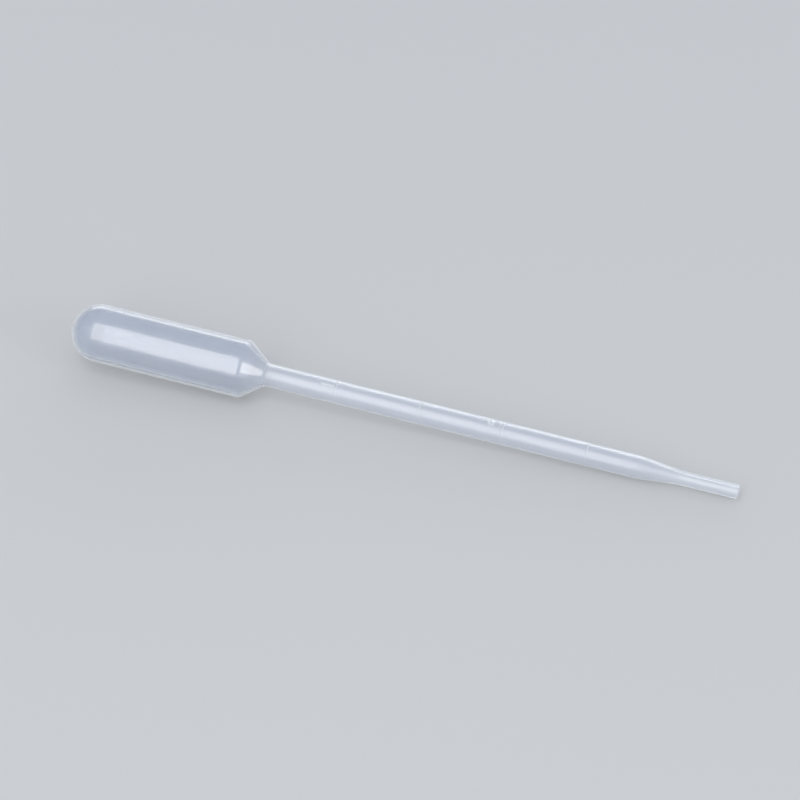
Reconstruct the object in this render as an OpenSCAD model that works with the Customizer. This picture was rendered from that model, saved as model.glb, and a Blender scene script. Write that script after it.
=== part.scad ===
// Dropper pipette, blow-moulded in one piece from soft polyethylene: a closed
// squeeze bulb, a sloping shoulder, a long graduated stem, a slow neck and a fine
// open tip. One hollow wall runs through all of them, thin in the bulb and
// thicker towards the tip.
//
// It lies as it comes to rest on a table, on the corner of its shoulder and the
// lower rim of its tip, with the end of the bulb just clear of the surface.
// +X runs from the bulb to the tip, +Z is up, and the origin is on the surface,
// under the middle of the pipette.

/* [Body] */
// Length from the end of the bulb to the end of the tip
total_length = 155; // [150:0.5:160]
// Outer diameter of the bulb
bulb_diameter = 13.3; // [12:0.1:14.5]
// Length of the bulb, from its end to the corner of its shoulder
bulb_length = 41.2; // [36:0.2:46]
// Slope of the shoulder, measured from the axis
shoulder_angle = 38; // [30:1:50]
// Outer diameter of the stem
stem_diameter = 5.3; // [4.8:0.1:6]

/* [Tip] */
// Outer diameter of the tip
tip_diameter = 3.3; // [2.9:0.1:3.7]
// Length of the straight tip
tip_length = 13.4; // [10:0.2:18]
// Length of the slope between the stem and the tip
neck_length = 9; // [7:0.2:12]

/* [Wall] */
// Wall of the bulb, thin enough to squeeze
bulb_wall = 0.42; // [0.35:0.01:0.6]
// Wall of the stem
stem_wall = 0.62; // [0.5:0.01:0.75]
// Wall of the tip
tip_wall = 0.75; // [0.55:0.01:0.8]

/* [Edges] */
// Outer radius on the corner of the shoulder
shoulder_round = 2; // [1:0.1:3]
// Outer radius in the corner between the shoulder and the stem
root_round = 1.8; // [0.8:0.1:2.5]
// Outer radius of the bend where the stem starts to narrow
neck_round = 20; // [10:1:30]
// Outer radius of the bend where the neck meets the tip
tip_root_round = 4; // [2:0.5:12]
// Radius on the rim of the tip
rim_round = 0.15; // [0.1:0.01:0.25]

/* [Graduations] */
// Volume from one line to the next, in millilitres
mark_step = 0.25; // [0.2:0.05:0.25]
// Number of lines
mark_count = 4; // [1:1:4]
// Height of a line above the stem
mark_height = 0.12; // [0.06:0.01:0.15]
// Radius of a line's rounded section
mark_radius = 0.22; // [0.18:0.01:0.3]
// How far round the stem a line runs
mark_sweep = 100; // [60:5:180]
// How far the lines are turned from the top towards the front
mark_roll = 20; // [0:5:90]

/* [Hidden] */
$fn = 96;
// How far the hollow runs past the open tip
overrun = 1;
// How far a corner's cut or filling runs past the corner itself
corner_margin = 1.2;
// An arc is this much over size, so that it crosses its lines where it meets them
arc_overlap = 1.0001;
cubic_mm_per_ml = 1000;

// Outer and inner radii
bulb_r = bulb_diameter / 2;
stem_r = stem_diameter / 2;
tip_r = tip_diameter / 2;
bulb_bore_r = bulb_r - bulb_wall;
stem_bore_r = stem_r - stem_wall;
tip_bore_r = tip_r - tip_wall;

// Where each slope begins and ends, from the end of the bulb
stem_start = bulb_length + (bulb_r - stem_r) / tan(shoulder_angle);
tip_start = total_length - tip_length;
neck_start = tip_start - neck_length;
neck_angle = atan((stem_r - tip_r) / neck_length);

// A wall of even thickness has its inner corners this much nearer the bulb
function inner_shift(wall, slope) = wall * tan(slope / 2);
shoulder_in = bulb_length - inner_shift(bulb_wall, shoulder_angle);
stem_in = stem_start - inner_shift(stem_wall, shoulder_angle);
neck_in = neck_start - inner_shift(stem_wall, neck_angle);
tip_in = tip_start - inner_shift(tip_wall, neck_angle);

// The two rounded corners that it rests on give the slope of its axis: each
// rounding's centre as [distance from the end of the bulb, distance from the axis]
shoulder_centre = [bulb_length - shoulder_round * tan(shoulder_angle / 2), bulb_r - shoulder_round];
rim_centre = [total_length - rim_round, tip_r - rim_round];
rest_span = rim_centre - shoulder_centre;
rest_slope = atan(-rest_span.y / rest_span.x) + asin((shoulder_round - rim_round) / norm(rest_span));
rest_height = shoulder_centre.x * sin(rest_slope) + shoulder_centre.y * cos(rest_slope) + shoulder_round;
rest_low_x = bulb_r * (cos(rest_slope) - 1);
rest_high_x = rim_centre.x * cos(rest_slope) + rim_centre.y * sin(rest_slope) + rim_round;

// A line stands where the bore from it to the end of the tip holds its volume
tip_volume = PI * tip_bore_r ^ 2 * tip_length;
neck_volume = PI / 3 * neck_length * (stem_bore_r ^ 2 + stem_bore_r * tip_bore_r + tip_bore_r ^ 2);
function mark_place(volume) =
    neck_start - (volume * cubic_mm_per_ml - tip_volume - neck_volume) / (PI * stem_bore_r ^ 2);

// A corner is [distance from the end of the bulb, distance from the axis, radius of
// its rounding]. Its rounding's arc touches both of its lines, and is centred on
// the line that halves the angle between them.
function point(corner) = [corner.x, corner.y];
function direction(from, to) = (point(to) - point(from)) / norm(point(to) - point(from));
function half_angle(before, at, after) = acos(direction(at, before) * direction(at, after)) / 2;
function bulges(before, at, after) = cross(direction(before, at), direction(at, after)) < 0;

// What lies outside a corner's arc, between the two lines from its centre through
// its ends: a bulging corner loses this, and a hollow one is filled with it
module outside_arc(before, at, after) {
    half = half_angle(before, at, after);
    to_before = direction(at, before);
    to_after = direction(at, after);
    centre = (to_before + to_after) / norm(to_before + to_after) * at.z / sin(half);
    reach = at.z / tan(half);
    translate(point(at) + centre) difference() {
        polygon(corner_margin * [[0, 0], to_before * reach - centre, -centre, to_after * reach - centre]);
        circle(at.z * arc_overlap);
    }
}

// A half section between the axis and a line of corners, with true arcs
module half_section(corners) {
    rounded = [for (i = [1 : len(corners) - 2]) if (corners[i].z > 0) i];
    difference() {
        union() {
            polygon([for (corner = corners) point(corner)]);
            for (i = rounded)
                if (!bulges(corners[i - 1], corners[i], corners[i + 1]))
                    outside_arc(corners[i - 1], corners[i], corners[i + 1]);
        }
        for (i = rounded)
            if (bulges(corners[i - 1], corners[i], corners[i + 1]))
                outside_arc(corners[i - 1], corners[i], corners[i + 1]);
    }
}

// The round end of the bulb, on the same centre inside and out
module dome_section(radius) {
    translate([bulb_r, 0]) intersection() {
        circle(radius);
        translate([-radius, 0]) square(radius);
    }
}

// Outer form
module outer_section() {
    dome_section(bulb_r);
    half_section([
        [bulb_r, 0, 0],
        [bulb_r, bulb_r, 0],
        [bulb_length, bulb_r, shoulder_round],
        [stem_start, stem_r, root_round],
        [neck_start, stem_r, neck_round],
        [tip_start, tip_r, tip_root_round],
        [total_length, tip_r, rim_round],
        [total_length, 0, 0]]);
}

// Hollow form: it follows the outside at the depth of the wall, and is open at the tip
module inner_section() {
    dome_section(bulb_bore_r);
    half_section([
        [bulb_r, 0, 0],
        [bulb_r, bulb_bore_r, 0],
        [shoulder_in, bulb_bore_r, shoulder_round - bulb_wall],
        [stem_in, stem_bore_r, root_round + stem_wall],
        [neck_in, stem_bore_r, neck_round - stem_wall],
        [tip_in, tip_bore_r, tip_root_round + tip_wall],
        [total_length + overrun, tip_bore_r, 0],
        [total_length + overrun, 0, 0]]);
}

// The blown wall, revolved with its axis along +X
module blown_wall() {
    rotate([0, 90, 0])
        rotate_extrude()
            mirror([1, -1, 0]) difference() {
                outer_section();
                inner_section();
            }
}

// One raised line across the top of the stem
module graduation_line() {
    rotate([0, 90, 0])
        rotate([0, 0, 180 - mark_sweep / 2])
            rotate_extrude(angle = mark_sweep)
                translate([stem_r + mark_height - mark_radius, 0]) circle(mark_radius);
}

// The lines that the straight stem has room for
module graduations() {
    for (i = [1 : mark_count])
        if (mark_place(i * mark_step) > stem_start + root_round)
            translate([mark_place(i * mark_step), 0, 0])
                rotate([mark_roll, 0, 0]) graduation_line();
}

module pipette() {
    color([0.86, 0.9, 0.95, 0.6])
        translate([-(rest_low_x + rest_high_x) / 2, 0, rest_height])
            rotate([0, rest_slope, 0]) {
                blown_wall();
                graduations();
            }
}

pipette();
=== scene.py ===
"""Looks of the dropper pipette: one hollow wall of milky polyethylene with raised
graduation lines, their numbers and the mould's parting line, on a plain pale floor."""

import math

import bpy
import numpy as np
from mathutils import Matrix, Vector


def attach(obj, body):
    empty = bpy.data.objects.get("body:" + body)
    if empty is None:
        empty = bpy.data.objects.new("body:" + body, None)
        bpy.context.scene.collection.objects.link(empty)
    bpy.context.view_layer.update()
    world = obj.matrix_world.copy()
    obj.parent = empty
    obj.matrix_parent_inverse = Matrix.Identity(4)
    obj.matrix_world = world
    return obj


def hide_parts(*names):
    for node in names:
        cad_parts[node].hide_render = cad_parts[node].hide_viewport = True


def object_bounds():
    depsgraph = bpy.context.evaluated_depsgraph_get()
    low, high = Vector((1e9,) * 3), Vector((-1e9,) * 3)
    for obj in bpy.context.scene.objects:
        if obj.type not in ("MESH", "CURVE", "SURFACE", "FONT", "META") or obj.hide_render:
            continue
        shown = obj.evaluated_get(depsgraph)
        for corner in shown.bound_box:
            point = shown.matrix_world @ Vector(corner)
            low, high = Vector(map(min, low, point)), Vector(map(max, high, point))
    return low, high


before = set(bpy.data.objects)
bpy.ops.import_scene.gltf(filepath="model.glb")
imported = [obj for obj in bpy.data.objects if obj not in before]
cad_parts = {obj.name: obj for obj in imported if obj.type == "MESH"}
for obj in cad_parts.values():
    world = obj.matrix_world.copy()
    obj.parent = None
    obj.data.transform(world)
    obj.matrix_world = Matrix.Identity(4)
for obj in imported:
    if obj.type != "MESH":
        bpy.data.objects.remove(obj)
cad_low, cad_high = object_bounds()

# ---- Dimensions, in millimetres, as in the part's source -------------------------
TOTAL_LENGTH = 155.0
BULB_R = 13.3 / 2
BULB_LENGTH = 41.2
SHOULDER_ANGLE = math.radians(38)
STEM_R = 5.3 / 2
TIP_R = 3.3 / 2
TIP_LENGTH = 13.4
NECK_LENGTH = 9.0
BULB_WALL = 0.42
STEM_WALL = 0.62
TIP_WALL = 0.75
SHOULDER_ROUND = 2.0
ROOT_ROUND = 1.8
NECK_ROUND = 20.0
TIP_ROOT_ROUND = 4.0
RIM_ROUND = 0.15
MARK_STEP = 0.25
MARK_COUNT = 4
MARK_HEIGHT = 0.12
MARK_RADIUS = 0.22
MARK_SWEEP = math.radians(100)
MARK_ROLL = math.radians(20)
CUBIC_MM_PER_ML = 1000.0
METRES_PER_MM = 0.001

STEM_START = BULB_LENGTH + (BULB_R - STEM_R) / math.tan(SHOULDER_ANGLE)
TIP_START = TOTAL_LENGTH - TIP_LENGTH
NECK_START = TIP_START - NECK_LENGTH
NECK_ANGLE = math.atan((STEM_R - TIP_R) / NECK_LENGTH)
BULB_BORE_R = BULB_R - BULB_WALL
STEM_BORE_R = STEM_R - STEM_WALL
TIP_BORE_R = TIP_R - TIP_WALL

# ---- Details that only the looks have, in millimetres ----------------------------
NUMBER_HEIGHT = 2.9         # of a figure beside its line
NUMBER_GAP = 0.62           # between a line and the foot of its figure
NUMBER_STROKE = 0.34        # width of a figure's stroke
NUMBER_RISE = 0.11          # height of a figure above the stem
PARTING_RISE = 0.035        # height of the mould's parting line
PARTING_HALF = math.radians(1.7)
MARK_END_SOFT = 0.18        # length over which a line's end runs out
NUMBER_FLANK = 0.09         # half the width of the slope beside a figure's stroke
INNER_RIM_ROUND = 0.08
OUTER_WAVE = 0.018          # unevenness of the blown wall outside
INNER_WAVE = 2.2 * OUTER_WAVE
OUTER_WAVE_SEED = 3
INNER_WAVE_SEED = 8
# Each wave of the unevenness: how often it comes round the wall, and its length
WAVES = ((1, 71.0), (2, 43.0), (3, 29.0), (2, 17.0), (5, 61.0))
POLE_PARTING_R = 1.5        # on the dome, the parting line runs out within this radius
POLE_WAVE_R = 4.0           # and the unevenness within this one
TIP_FADE = 4.0              # length before the tip's end over which both run out

# ---- The mesh: spacing in millimetres, and counts of rows and columns ------------
FINE = 0.062                # spacing where the outside carries a number
OUTER_SPACING = 0.9
INNER_SPACING = 1.6
OUTER_ARC_ROWS = 12
INNER_ARC_ROWS = 9
ARC_MARGIN = 0.3            # kept free of other rows beside a rounding
CLOSEST_ROWS = 0.02
MARK_ROWS = 13
MARK_MARGIN = 0.08
DOME_ROWS = 40
DOME_FIRST_ANGLE = 2.0      # of the first row from the pole, in degrees
RIM_ROWS = 6
INNER_RIM_ROWS = 5
FINE_MARGIN = math.radians(3)
PLAIN_COLUMNS = 64
PARTING_COLUMNS = 7
PARTING_CLEAR = 1.5         # half the width that its columns have alone, in PARTING_HALF


def smooth(low, high, value):
    """0 at low and 1 at high, with a soft start and end. Low may be the larger one."""
    t = np.clip((value - low) / (high - low), 0.0, 1.0)
    return t * t * (3 - 2 * t)


# ---- The section: a line of corners with true roundings --------------------------
def rounding(before, at, after):
    """A corner's rounding: where it starts and ends along the axis, its centre, and
    +1 where it bulges or -1 where it is hollow."""
    p, q, s = np.array(before[:2]), np.array(at[:2]), np.array(after[:2])
    u = (p - q) / np.linalg.norm(p - q)
    v = (s - q) / np.linalg.norm(s - q)
    half = math.acos(float(u @ v)) / 2
    reach = at[2] / math.tan(half)
    centre = q + (u + v) / np.linalg.norm(u + v) * at[2] / math.sin(half)
    turn = (q - p)[0] * (s - q)[1] - (q - p)[1] * (s - q)[0]
    return (q + u * reach)[0], (q + v * reach)[0], centre, -np.sign(turn)


def radius_line(corners):
    """A function from the place along the axis to the section's radius there."""
    xs = np.array([c[0] for c in corners])
    rs = np.array([c[1] for c in corners])
    arcs = [
        (*rounding(corners[i - 1], corners[i], corners[i + 1]), corners[i][2])
        for i in range(1, len(corners) - 1)
        if corners[i][2] > 0
    ]

    def at(x):
        x = np.asarray(x, float)
        r = np.interp(x, xs, rs)
        for start, end, centre, side, radius in arcs:
            inside = (x > start) & (x < end)
            arc = centre[1] + side * np.sqrt(np.maximum(radius**2 - (x - centre[0]) ** 2, 0))
            r = np.where(inside, arc, r)
        return r

    return at, arcs


outer_corners = [
    (BULB_R, BULB_R, 0),
    (BULB_LENGTH, BULB_R, SHOULDER_ROUND),
    (STEM_START, STEM_R, ROOT_ROUND),
    (NECK_START, STEM_R, NECK_ROUND),
    (TIP_START, TIP_R, TIP_ROOT_ROUND),
    (TOTAL_LENGTH, TIP_R, 0),
]


def inner_shift(thickness, angle):
    """How much nearer the bulb the inner corner of an even wall is."""
    return thickness * math.tan(angle / 2)


inner_corners = [
    (BULB_R, BULB_BORE_R, 0),
    (BULB_LENGTH - inner_shift(BULB_WALL, SHOULDER_ANGLE), BULB_BORE_R, SHOULDER_ROUND - BULB_WALL),
    (STEM_START - inner_shift(STEM_WALL, SHOULDER_ANGLE), STEM_BORE_R, ROOT_ROUND + STEM_WALL),
    (NECK_START - inner_shift(STEM_WALL, NECK_ANGLE), STEM_BORE_R, NECK_ROUND - STEM_WALL),
    (TIP_START - inner_shift(TIP_WALL, NECK_ANGLE), TIP_BORE_R, TIP_ROOT_ROUND + TIP_WALL),
    (TOTAL_LENGTH, TIP_BORE_R, 0),
]
outer_at, outer_arcs = radius_line(outer_corners)
inner_at, inner_arcs = radius_line(inner_corners)

# A line stands where the bore from it to the end of the tip holds its volume
tip_volume = math.pi * TIP_BORE_R**2 * TIP_LENGTH
neck_squares = STEM_BORE_R**2 + STEM_BORE_R * TIP_BORE_R + TIP_BORE_R**2
neck_volume = math.pi / 3 * NECK_LENGTH * neck_squares
stem_area = math.pi * STEM_BORE_R**2
mark_places = [
    NECK_START - (i * MARK_STEP * CUBIC_MM_PER_ML - tip_volume - neck_volume) / stem_area
    for i in range(1, MARK_COUNT + 1)
]


# ---- Numbers: strokes in a plane, x to the reader's right, y up ------------------
def arc_stroke(centre, radii, start, end, count=14):
    turns = np.radians(np.linspace(start, end, count))
    return [(centre[0] + radii[0] * math.cos(t), centre[1] + radii[1] * math.sin(t)) for t in turns]


ONE = [[(0.0, 0.0), (0.0, 1.0)], [(0.0, 1.0), (-0.24, 0.76)]]
FIVE = [
    [(0.50, 1.0), (0.06, 1.0), (0.0, 0.56)],
    arc_stroke((0.22, 0.33), (0.32, 0.33), 132, -140),
]
POINT = [[(-0.30, 0.02), (-0.30, 0.03)]]
half_ml = [[(x + 0.05, y) for x, y in stroke] for stroke in FIVE + POINT]
numbers = {1: half_ml, 3: ONE}     # by the place of their line in mark_places


def stroke_distance(px, py, strokes):
    """Distance from each point to the nearest of the strokes' straight pieces."""
    best = np.full(px.shape, 1e9)
    for stroke in strokes:
        for (ax, ay), (bx, by) in zip(stroke, stroke[1:]):
            dx, dy = bx - ax, by - ay
            t = np.clip(((px - ax) * dx + (py - ay) * dy) / (dx * dx + dy * dy), 0, 1)
            best = np.minimum(best, np.hypot(px - ax - t * dx, py - ay - t * dy))
    return best


# ---- Rows along the section and columns round it ---------------------------------
def merged(stations, closest):
    """The stations in order, without those that come too soon after another."""
    out = []
    for x in sorted(stations):
        if not out or x - out[-1] > closest:
            out.append(x)
    return out


def without(xs, low, high):
    return [x for x in xs if not low < x < high]


def body_stations(start, end, arcs, spacing, arc_rows):
    """Places of rows along the wall, closer where it is rounded."""
    xs = list(np.linspace(start, end, int((end - start) / spacing) + 2))
    for arc_start, arc_end, *_ in arcs:
        xs = without(xs, arc_start - ARC_MARGIN, arc_end + ARC_MARGIN)
        xs += list(np.linspace(arc_start, arc_end, arc_rows))
    return xs


outer_x = body_stations(BULB_R, TOTAL_LENGTH - RIM_ROUND, outer_arcs, OUTER_SPACING, OUTER_ARC_ROWS)
for i, place in enumerate(mark_places):
    half = math.sqrt(MARK_RADIUS**2 - (MARK_RADIUS - MARK_HEIGHT) ** 2) + MARK_MARGIN
    outer_x = without(outer_x, place - half, place + half)
    outer_x += list(np.linspace(place - half, place + half, MARK_ROWS))
    if i in numbers:
        foot = place - NUMBER_GAP + NUMBER_STROKE
        head = place - NUMBER_GAP - NUMBER_HEIGHT - NUMBER_STROKE
        outer_x = without(outer_x, head, foot)
        outer_x += list(np.arange(head, foot, FINE))
outer_x = merged(outer_x, CLOSEST_ROWS)
inner_x = merged(
    body_stations(BULB_R, TOTAL_LENGTH - INNER_RIM_ROUND, inner_arcs, INNER_SPACING, INNER_ARC_ROWS),
    CLOSEST_ROWS,
)

fine_half = MARK_SWEEP / 2 + FINE_MARGIN
turns = list(MARK_ROLL + np.arange(-fine_half, fine_half, FINE / STEM_R))
rest_of_turn = 2 * math.pi - 2 * fine_half
turns += list(MARK_ROLL + fine_half + np.linspace(0, rest_of_turn, PLAIN_COLUMNS, endpoint=False))
partings = [MARK_ROLL + math.pi / 2, MARK_ROLL + 3 * math.pi / 2]
for line in partings:
    turns = without(turns, line - PARTING_CLEAR * PARTING_HALF, line + PARTING_CLEAR * PARTING_HALF)
    turns += list(line + np.linspace(-1, 1, PARTING_COLUMNS) * PARTING_HALF)
turns = np.array(sorted(turns))


def waves(x, turn, seed):
    """Slow unevenness of a blown wall, between -1 and 1, mostly drawn out along it."""
    total = 0
    pick = np.random.RandomState(seed)
    for round_waves, length in WAVES:
        phase = pick.uniform(0, 2 * math.pi, 2)
        around = np.cos(round_waves * turn + phase[0])
        total = total + around * np.cos(2 * math.pi * x / length + phase[1])
    return total / len(WAVES)


def sunk(x, turn):
    """How far the uneven outside lies under the plain one."""
    return OUTER_WAVE * (1 + waves(x, turn, OUTER_WAVE_SEED)) / 2


def raised(x, turn):
    """Height of lines, numbers and parting line above the plain outside."""
    height = np.zeros(np.broadcast(x, turn).shape)
    along_round = (turn - MARK_ROLL) * STEM_R
    end = MARK_SWEEP / 2 * STEM_R
    for i, place in enumerate(mark_places):
        off = np.abs(x - place)
        section = np.sqrt(np.maximum(MARK_RADIUS**2 - off**2, 0)) - (MARK_RADIUS - MARK_HEIGHT)
        fade = smooth(end, end - MARK_END_SOFT, np.abs(along_round))
        height = np.maximum(height, np.maximum(section, 0) * fade)
        if i in numbers:
            right = -along_round / NUMBER_HEIGHT
            up = (place - NUMBER_GAP - x) / NUMBER_HEIGHT
            gap = stroke_distance(right, up, numbers[i]) * NUMBER_HEIGHT
            stroke = smooth(NUMBER_STROKE / 2 + NUMBER_FLANK, NUMBER_STROKE / 2 - NUMBER_FLANK, gap)
            height = np.maximum(height, NUMBER_RISE * stroke)
    for line in partings:
        off = np.abs((turn - line + math.pi) % (2 * math.pi) - math.pi)
        height = np.maximum(height, PARTING_RISE * smooth(PARTING_HALF, 0, off))
    return height


# ---- The rest pose, from the two rounded corners that it lies on -----------------
shoulder_x = BULB_LENGTH - SHOULDER_ROUND * math.tan(SHOULDER_ANGLE / 2)
shoulder_centre = np.array([shoulder_x, BULB_R - SHOULDER_ROUND])
rim_centre = np.array([TOTAL_LENGTH - RIM_ROUND, TIP_R - RIM_ROUND])
span = rim_centre - shoulder_centre
slope = math.atan(-span[1] / span[0])
slope += math.asin((SHOULDER_ROUND - RIM_ROUND) / np.linalg.norm(span))
rest_height = shoulder_centre[0] * math.sin(slope) + shoulder_centre[1] * math.cos(slope)
rest_height += SHOULDER_ROUND
low_x = BULB_R * (math.cos(slope) - 1)
high_x = rim_centre[0] * math.cos(slope) + rim_centre[1] * math.sin(slope) + RIM_ROUND
to_rest = Matrix.Translation((-(low_x + high_x) / 2, 0, rest_height)) @ Matrix.Rotation(slope, 4, "Y")
part_to_world = Matrix.Scale(METRES_PER_MM, 4) @ to_rest


def build_wall():
    """One closed mesh: outside from the bulb's end to the rim, then inside and back."""
    rows = []      # each is (x, radius, how raised) arrays over the columns

    def add_row(x, radius, lifted=0.0):
        row = [np.asarray(value, float) for value in (x, radius, lifted)]
        rows.append([np.broadcast_to(values, turns.shape) for values in row])

    dome_steps = np.radians(np.linspace(DOME_FIRST_ANGLE, 90.0, DOME_ROWS))
    for angle in dome_steps[:-1]:
        x = BULB_R - BULB_R * math.cos(angle)
        r = BULB_R * math.sin(angle)
        lift = raised(x, turns) * min(1.0, r / POLE_PARTING_R)
        uneven = sunk(x, turns) * min(1.0, r / POLE_WAVE_R)
        add_row(x - lift * math.cos(angle), r + lift * math.sin(angle) - uneven)
    for x in outer_x:
        fade = float(smooth(TOTAL_LENGTH, TOTAL_LENGTH - TIP_FADE, x))
        uneven = sunk(x, turns) * (outer_at(x) / BULB_R) * fade
        lift = raised(x, turns) * fade
        add_row(x, outer_at(x) + lift - uneven, np.clip(lift / NUMBER_RISE, 0, 1))
    for angle in np.radians(np.linspace(75, 0, RIM_ROWS)):
        x = rim_centre[0] + RIM_ROUND * math.cos(angle)
        add_row(x, rim_centre[1] + RIM_ROUND * math.sin(angle))
    add_row(TOTAL_LENGTH, (TIP_R + TIP_BORE_R) / 2)
    for angle in np.radians(np.linspace(0, 90, INNER_RIM_ROWS)):
        add_row(
            TOTAL_LENGTH - INNER_RIM_ROUND + INNER_RIM_ROUND * math.cos(angle),
            TIP_BORE_R + INNER_RIM_ROUND - INNER_RIM_ROUND * math.sin(angle),
        )
    for x in inner_x[-2::-1]:
        uneven = INNER_WAVE * waves(x, turns, INNER_WAVE_SEED) * (inner_at(x) / BULB_R)
        add_row(x, inner_at(x) + uneven)
    for angle in dome_steps[-2::-2]:
        x = BULB_R - BULB_BORE_R * math.cos(angle)
        r = BULB_BORE_R * math.sin(angle)
        add_row(x, r + INNER_WAVE * waves(x, turns, INNER_WAVE_SEED) * min(1.0, r / POLE_WAVE_R))

    # Each row's points, then one point at each pole of the dome, outside and inside
    n, count = len(turns), len(rows)
    xs = np.array([row[0] for row in rows])
    rs = np.array([row[1] for row in rows])
    points = np.stack([xs, -rs * np.sin(turns), rs * np.cos(turns)], axis=-1).reshape(-1, 3)
    points = np.vstack([points, [[0, 0, 0], [BULB_WALL, 0, 0]]])
    outer_pole, inner_pole = count * n, count * n + 1
    j = np.arange(n)
    k = (j + 1) % n
    quads = [
        np.stack([i * n + j, i * n + k, (i + 1) * n + k, (i + 1) * n + j], axis=1) for i in range(count - 1)
    ]
    faces = np.vstack(quads).tolist()
    faces += [(outer_pole, int(b), int(a)) for a, b in zip(j, k)]
    last = (count - 1) * n
    faces += [(inner_pole, int(last + a), int(last + b)) for a, b in zip(j, k)]
    mesh = bpy.data.meshes.new("pipette_wall")
    mesh.from_pydata(points.tolist(), [], faces)
    mesh.transform(part_to_world)
    mesh.update()
    mesh.shade_smooth()
    walls = np.interp(
        points[:, 0],
        [BULB_LENGTH, STEM_START, NECK_START, TIP_START],
        [BULB_WALL, STEM_WALL, STEM_WALL, TIP_WALL],
    )
    lifted = np.append(np.array([row[2] for row in rows]).ravel(), [0.0, 0.0])
    for name, values in (("raised", lifted), ("wall", walls)):
        mesh.attributes.new(name, "FLOAT", "POINT").data.foreach_set("value", values.astype(np.float32))
    piece = bpy.data.objects.new("pipette_wall", mesh)
    bpy.context.scene.collection.objects.link(piece)
    return piece


# ---- Materials -------------------------------------------------------------------
MILK_COLOURS = (0.79, 0.84, 0.925), (0.835, 0.875, 0.96)
EDGE_COLOUR = (0.93, 0.96, 0.99)
EDGE_FACING = 0.40, 0.78    # of the Layer Weight, from clear to milky
RAISED_MILK = 0.75          # how milky the lines and numbers are, from 0 to 1
TIP_MILK = 0.28             # and the thick wall of the tip
CLEARNESS = 0.84, 0.9       # share of light that plain wall lets through
MILKY_CLEARNESS = 0.3       # of that share, what fully milky wall lets through
BULB_ROUGHNESS = 0.13, 0.18
STEM_DULLNESS = 0.185       # added to the bulb's roughness
ROOT_SHARE = 0.85           # where the dullness starts, on the way from bulb to stem wall
SHADE = 0.90, 0.55          # of lamps through the wall, face on and edge on
FLOOR_COLOURS = (0.635, 0.652, 0.675), (0.65, 0.667, 0.69)
NOISE_MIDDLE = 0.3, 0.7     # the part of a noise's range that most of it lies in


class Nodes:
    """Short calls for building a node tree."""

    def __init__(self, owner):
        owner.use_nodes = True
        self.tree = owner.node_tree
        self.tree.nodes.clear()

    def add(self, kind, inputs=None, **settings):
        node = self.tree.nodes.new(kind)
        for key, value in settings.items():
            setattr(node, key, value)
        for key, value in (inputs or {}).items():
            if isinstance(value, bpy.types.NodeSocket):
                self.tree.links.new(value, node.inputs[key])
            else:
                node.inputs[key].default_value = value
        return node

    def ramp(self, factor, low, high, low_value, high_value):
        """Values from low to high become low_value to high_value, and stay between."""
        node = self.add(
            "ShaderNodeMapRange",
            {"Value": factor, "From Min": low, "From Max": high, "To Min": low_value, "To Max": high_value},
        )
        return node.outputs["Result"]

    def blend(self, factor, first, second):
        node = self.add("ShaderNodeMix", {"Factor": factor}, data_type="RGBA")
        for socket, colour in ((node.inputs[6], first), (node.inputs[7], second)):
            if isinstance(colour, bpy.types.NodeSocket):
                self.tree.links.new(colour, socket)
            else:
                socket.default_value = (*colour, 1)
        return node.outputs[2]


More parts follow.
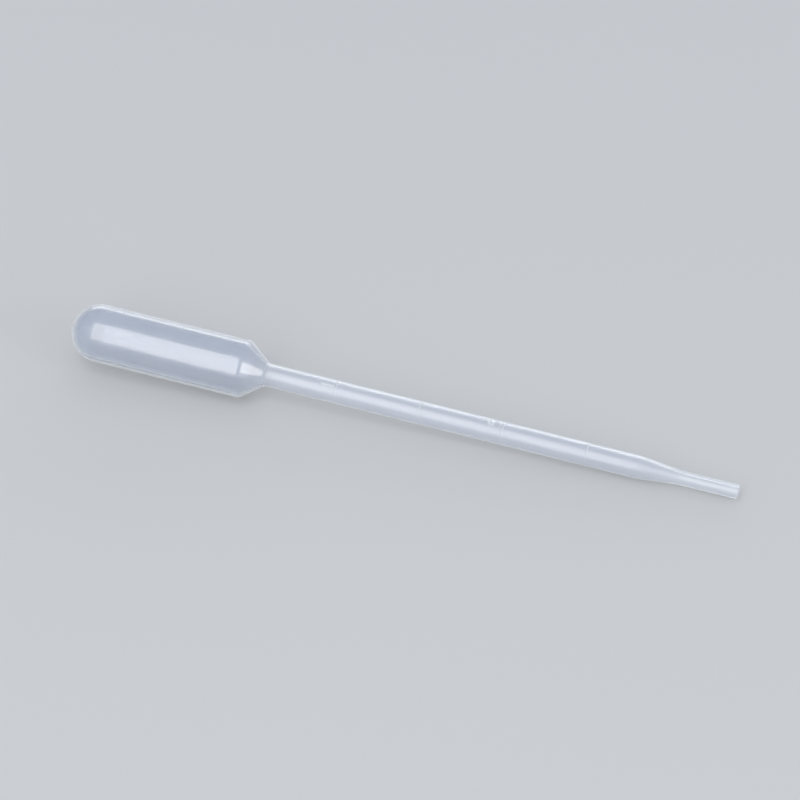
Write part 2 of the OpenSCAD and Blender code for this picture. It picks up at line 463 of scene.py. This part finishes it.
def polyethylene():
    material = bpy.data.materials.new("polyethylene")
    n = Nodes(material)
    place = n.add("ShaderNodeTexCoord").outputs["Object"]
    along = n.add(
        "ShaderNodeMapping",
        {"Vector": place, "Rotation": (0, -slope, 0), "Scale": (40, 900, 900)},
    )
    streaks = n.add("ShaderNodeTexNoise", {"Vector": along.outputs[0], "Scale": 1.0, "Detail": 3.0})
    cloud = n.add("ShaderNodeTexNoise", {"Vector": place, "Scale": 160.0, "Detail": 4.0})
    grain = n.add("ShaderNodeTexNoise", {"Vector": place, "Scale": 2600.0, "Detail": 2.0})
    tint = n.blend(cloud.outputs["Fac"], *MILK_COLOURS)
    ripple = n.add(
        "ShaderNodeBump", {"Height": streaks.outputs["Fac"], "Strength": 0.08, "Distance": 0.0004}
    )
    texture = n.add(
        "ShaderNodeBump",
        {
            "Height": grain.outputs["Fac"],
            "Strength": 0.05,
            "Distance": 0.0001,
            "Normal": ripple.outputs["Normal"],
        },
    )
    # The wall is milkier where it's seen edge on, where it's raised and where it's thick
    facing = n.add("ShaderNodeLayerWeight", {"Blend": 0.5}).outputs["Facing"]
    lifted = n.add("ShaderNodeAttribute", attribute_name="raised").outputs["Fac"]
    depth = n.add("ShaderNodeAttribute", attribute_name="wall").outputs["Fac"]
    edge = n.ramp(facing, *EDGE_FACING, 0.0, 1.0)
    raised_here = n.ramp(lifted, 0, 1, 0.0, RAISED_MILK)
    thick_here = n.ramp(depth, BULB_WALL, TIP_WALL, 0.0, TIP_MILK)
    milky = n.add("ShaderNodeMath", {0: edge, 1: raised_here}, operation="MAXIMUM").outputs[0]
    milky = n.add("ShaderNodeMath", {0: milky, 1: thick_here}, operation="MAXIMUM").outputs[0]
    clear = n.ramp(streaks.outputs["Fac"], *NOISE_MIDDLE, *CLEARNESS)
    left_clear = n.ramp(milky, 0, 1, 1.0, MILKY_CLEARNESS)
    passed = n.add("ShaderNodeMath", {0: clear, 1: left_clear}, operation="MULTIPLY")
    # The drawn stem and tip are duller than the bulb, from the stem's root on
    root_wall = BULB_WALL + ROOT_SHARE * (STEM_WALL - BULB_WALL)
    dull = n.ramp(depth, root_wall, STEM_WALL, 0.0, STEM_DULLNESS)
    glossy = n.ramp(cloud.outputs["Fac"], *NOISE_MIDDLE, *BULB_ROUGHNESS)
    rough = n.add("ShaderNodeMath", {0: glossy, 1: dull}, operation="ADD")
    shader = n.add(
        "ShaderNodeBsdfPrincipled",
        {
            "Base Color": n.blend(milky, tint, EDGE_COLOUR),
            "Roughness": rough.outputs[0],
            "IOR": 1.51,
            "Transmission Weight": passed.outputs[0],
            "Coat Weight": 0.15,
            "Coat Roughness": 0.08,
            "Normal": texture.outputs["Normal"],
        },
    )
    # Lamps reach through the wall, and light that has bounced goes on through it
    shade = n.ramp(facing, 0.2, 0.95, *SHADE)
    veil_colour = n.add("ShaderNodeCombineColor", {0: shade, 1: shade, 2: shade})
    veil = n.add("ShaderNodeBsdfTransparent", {"Color": veil_colour.outputs[0]})
    ray = n.add("ShaderNodeLightPath")
    surface = shader.outputs[0]
    for kind in ("Is Shadow Ray", "Is Diffuse Ray"):
        mix = n.add("ShaderNodeMixShader", {0: ray.outputs[kind], 1: surface, 2: veil.outputs[0]})
        surface = mix.outputs[0]
    out = n.add("ShaderNodeOutputMaterial")
    n.tree.links.new(surface, out.inputs["Surface"])
    return material


def floor_material():
    material = bpy.data.materials.new("pale_floor")
    n = Nodes(material)
    place = n.add("ShaderNodeTexCoord").outputs["Object"]
    cloud = n.add("ShaderNodeTexNoise", {"Vector": place, "Scale": 3.0, "Detail": 3.0})
    tint = n.blend(cloud.outputs["Fac"], *FLOOR_COLOURS)
    shader = n.add("ShaderNodeBsdfPrincipled", {"Base Color": tint, "Roughness": 0.8})
    out = n.add("ShaderNodeOutputMaterial")
    n.tree.links.new(shader.outputs[0], out.inputs["Surface"])
    return material


# ---- The scene: lengths in metres, and lights by their radiance ------------------
FLOOR_HALF = 6.0
KEY_DISTANCE = 1.34
KEY_ELEVATION = math.radians(43.5)
KEY_X = -0.25
KEY_SIZE = (0.66, 2.1)
KEY_RADIANCE = 2.6
KEY_COLOUR = (1.0, 0.96, 0.88)
# The key's fade is the sum of two: each has the heights that it rises between, with
# the key's foot at 0 and its top at 1, and then its share of the light
KEY_CORE = 0.05, 0.2, 0.78
KEY_SKIRT = -0.1, 0.2, 0.22
SIDE_PLACE = (0.893, -0.32, 0.32)
SIDE_ROLL = math.radians(-43)
SIDE_SIZE = (0.28, 0.66)
SIDE_RADIANCE = 3.9
SIDE_COLOUR = (1.0, 0.95, 0.86)
BACK_PLACE = (-0.1, 1.2, 0.36)
BACK_SIZE = (1.6, 0.36)
BACK_RADIANCE = 2.1
WORLD_COLOUR = (0.86, 0.91, 1.0)
WORLD_STRENGTH = 0.55
CAMERA_ELEVATION = math.radians(43)
CAMERA_TURN = math.radians(17.5)     # from straight in front towards the tip's end
CAMERA_DISTANCE = 0.816
CAMERA_ANGLE = math.radians(12.4)

wall = build_wall()
wall.data.materials.append(polyethylene())
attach(wall, "root")
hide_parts("pipette")

middle = (cad_low + cad_high) / 2

floor_mesh = bpy.data.meshes.new("floor")
floor_mesh.from_pydata(
    [(-FLOOR_HALF, -FLOOR_HALF, cad_low.z), (FLOOR_HALF, -FLOOR_HALF, cad_low.z),
     (FLOOR_HALF, FLOOR_HALF, cad_low.z), (-FLOOR_HALF, FLOOR_HALF, cad_low.z)],
    [], [(0, 1, 2, 3)],
)
floor = bpy.data.objects.new("floor", floor_mesh)
bpy.context.scene.collection.objects.link(floor)
floor_mesh.materials.append(floor_material())


def area_light(name, place, target, size, radiance, colour=(1, 1, 1)):
    """A rectangle of light, whose watts Cycles spreads over pi steradians."""
    data = bpy.data.lights.new(name, "AREA")
    data.shape = "RECTANGLE"
    data.size, data.size_y = size
    data.energy = radiance * math.pi * size[0] * size[1]
    data.color = colour
    light = bpy.data.objects.new(name, data)
    light.location = place
    light.rotation_euler = (Vector(target) - Vector(place)).to_track_quat("-Z", "Y").to_euler()
    light.visible_camera = False
    bpy.context.scene.collection.objects.link(light)
    return light


# The key is a tall soft box, square to the pipette's axis, that fades towards its foot
key_place = (KEY_X, -KEY_DISTANCE * math.cos(KEY_ELEVATION), KEY_DISTANCE * math.sin(KEY_ELEVATION))
key = area_light("key", key_place, (KEY_X, 0, 0), KEY_SIZE, KEY_RADIANCE, KEY_COLOUR)
n = Nodes(key.data)
parametric = n.add("ShaderNodeNewGeometry").outputs["Parametric"]
height = n.add("ShaderNodeSeparateXYZ", {0: parametric}).outputs["Y"]
core = n.ramp(height, KEY_CORE[0], KEY_CORE[1], 0.0, KEY_CORE[2])
core.node.interpolation_type = "SMOOTHSTEP"
skirt = n.ramp(height, KEY_SKIRT[0], KEY_SKIRT[1], 0.0, KEY_SKIRT[2])
fade = n.add("ShaderNodeMath", {0: core, 1: skirt}, operation="ADD").outputs[0]
glow = n.add("ShaderNodeEmission", {"Strength": fade})
n.add("ShaderNodeOutputLight", {"Surface": glow.outputs[0]})
# The side light is a strip, slanted to lie along what the shoulder reflects to the
# camera, and clear of what the bulb's top would reflect to someone behind its end
side = area_light("side", SIDE_PLACE, middle, SIDE_SIZE, SIDE_RADIANCE, SIDE_COLOUR)
side.rotation_euler.rotate_axis("Z", SIDE_ROLL)
area_light("back", BACK_PLACE, middle, BACK_SIZE, BACK_RADIANCE)

world = bpy.data.worlds.new("studio")
bpy.context.scene.world = world
world.use_nodes = True
background = world.node_tree.nodes["Background"]
background.inputs["Color"].default_value = (*WORLD_COLOUR, 1)
background.inputs["Strength"].default_value = WORLD_STRENGTH

camera_data = bpy.data.cameras.new("camera")
camera_data.angle = CAMERA_ANGLE
camera_data.clip_start = 0.01
camera_data.clip_end = 50
camera = bpy.data.objects.new("camera", camera_data)
toward = Vector((
    math.cos(CAMERA_ELEVATION) * math.sin(CAMERA_TURN),
    -math.cos(CAMERA_ELEVATION) * math.cos(CAMERA_TURN),
    math.sin(CAMERA_ELEVATION),
))
camera.location = middle + toward * CAMERA_DISTANCE
camera.rotation_euler = toward.to_track_quat("Z", "Y").to_euler()
bpy.context.scene.collection.objects.link(camera)
bpy.context.scene.camera = camera
bpy.context.scene.view_settings.view_transform = "Standard"
